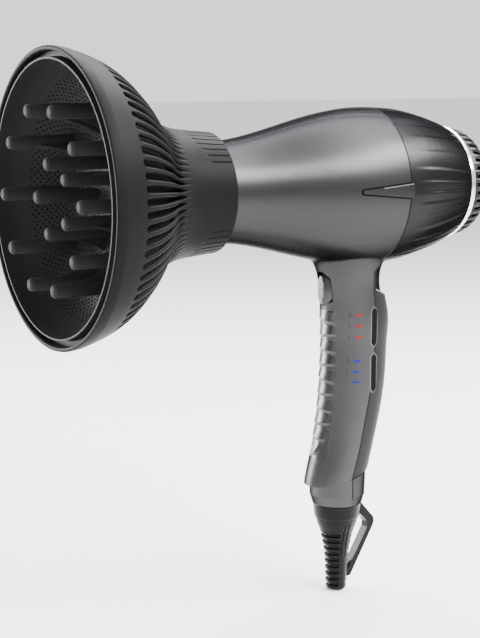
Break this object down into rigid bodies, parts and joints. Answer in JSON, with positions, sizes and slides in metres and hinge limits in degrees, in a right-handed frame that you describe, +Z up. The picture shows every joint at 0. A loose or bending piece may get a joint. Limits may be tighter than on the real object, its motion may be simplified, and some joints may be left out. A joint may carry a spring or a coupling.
{
  "type": "hair dryer",
  "caption": "Pistol-grip hair dryer with a slotted bell diffuser, curved grip with side keys and lamps, rear filter cap and strain-relief boot with a hanging strap.",
  "frame": {"origin": "centre of the hand grip, 110 mm under the barrel's axis", "axes": "+Z up along the grip, the air blows towards -X, the keys are on the -Y side"},
  "size_m": [0.2823, 0.16, 0.323],
  "materials": {
    "diffuser_plastic": "matte charcoal, fine grain",
    "graphite_satin": "satin metallic graphite lacquer",
    "graphite_gloss": "dark graphite lacquer over carved waves",
    "dark_satin": "dark satin",
    "grip_gloss": "glossy grey over raised ridges",
    "key_black": "black",
    "soft_rubber": "semi-gloss black rubber",
    "red_lens": "translucent red lens",
    "blue_lens": "translucent blue lens",
    "bright_trim": "bright plated",
    "steel": "plain steel",
    "copper": "copper windings",
    "mica": "mica sheet",
    "board_green": "circuit board"
  },
  "bodies": {
    "dryer": {"front_housing": "graphite_satin", "rear_housing": "graphite_gloss", "side_latches": "graphite_satin", "handle_rear_cover": "dark_satin", "rear_pad": "soft_rubber", "front_grip": "grip_gloss", "red_lamps": "red_lens", "blue_lamps": "blue_lens", "outlet_grille": "key_black", "mica_sleeve": "mica", "heater_frame": "mica", "heater_coils": "steel", "thermal_cutout": "steel", "fan_duct": "key_black", "motor_can": "steel", "motor_bearings": "steel", "ioniser": "key_black", "control_board": "board_green", "key_switches": "key_black", "cold_shot_switch": "key_black", "cord_clamp": "key_black", "handle_screws": "steel", "strain_relief": "soft_rubber", "hanging_loop": "soft_rubber"},
    "diffuser_ring": {"diffuser_grip_ring": "soft_rubber"},
    "diffuser": {"diffuser_bell": "diffuser_plastic", "diffuser_bowl": "diffuser_plastic", "diffuser_outer_fingers": "diffuser_plastic", "diffuser_inner_fingers": "diffuser_plastic"},
    "fan": {"impeller": "key_black", "motor_shaft": "steel", "motor_rotor": "copper"},
    "rear_filter": {"rear_grille": "graphite_gloss", "trim_ring": "bright_trim", "filter_mesh": "steel"},
    "cold_shot": {"cold_shot_button": "grip_gloss"},
    "temp_up": {"temp_up_key": "key_black"},
    "temp_down": {"temp_down_key": "key_black"},
    "speed_up": {"speed_up_key": "key_black"},
    "speed_down": {"speed_down_key": "key_black"}
  },
  "joints": [
    {"name": "diffuser_pull", "type": "slide", "parent": "dryer", "child": "diffuser_ring", "axis": [-1, 0, 0], "range_m": [0, 0.045]},
    {"name": "diffuser_turn", "type": "hinge", "parent": "diffuser_ring", "child": "diffuser", "pos_m": [-0.109, 0, 0.11], "axis": [1, 0, 0], "continuous": true},
    {"name": "fan_spin", "type": "hinge", "parent": "dryer", "child": "fan", "pos_m": [0.02, 0, 0.11], "axis": [1, 0, 0], "continuous": true},
    {"name": "rear_filter_pull", "type": "slide", "parent": "dryer", "child": "rear_filter", "axis": [1, 0, 0], "range_m": [0, 0.03]},
    {"name": "cold_shot_press", "type": "slide", "parent": "dryer", "child": "cold_shot", "axis": [1, 0, 0], "range_m": [0, 0.002], "stiffness_N_per_m": 900, "springref_m": -0.001},
    {"name": "temp_up_press", "type": "slide", "parent": "dryer", "child": "temp_up", "axis": [0, 1, 0], "range_m": [0, 0.0008], "stiffness_N_per_m": 2500, "springref_m": -0.0004},
    {"name": "temp_down_press", "type": "slide", "parent": "dryer", "child": "temp_down", "axis": [0, 1, 0], "range_m": [0, 0.0008], "stiffness_N_per_m": 2500, "springref_m": -0.0004},
    {"name": "speed_up_press", "type": "slide", "parent": "dryer", "child": "speed_up", "axis": [0, 1, 0], "range_m": [0, 0.0008], "stiffness_N_per_m": 2500, "springref_m": -0.0004},
    {"name": "speed_down_press", "type": "slide", "parent": "dryer", "child": "speed_down", "axis": [0, 1, 0], "range_m": [0, 0.0008], "stiffness_N_per_m": 2500, "springref_m": -0.0004}
  ]
}
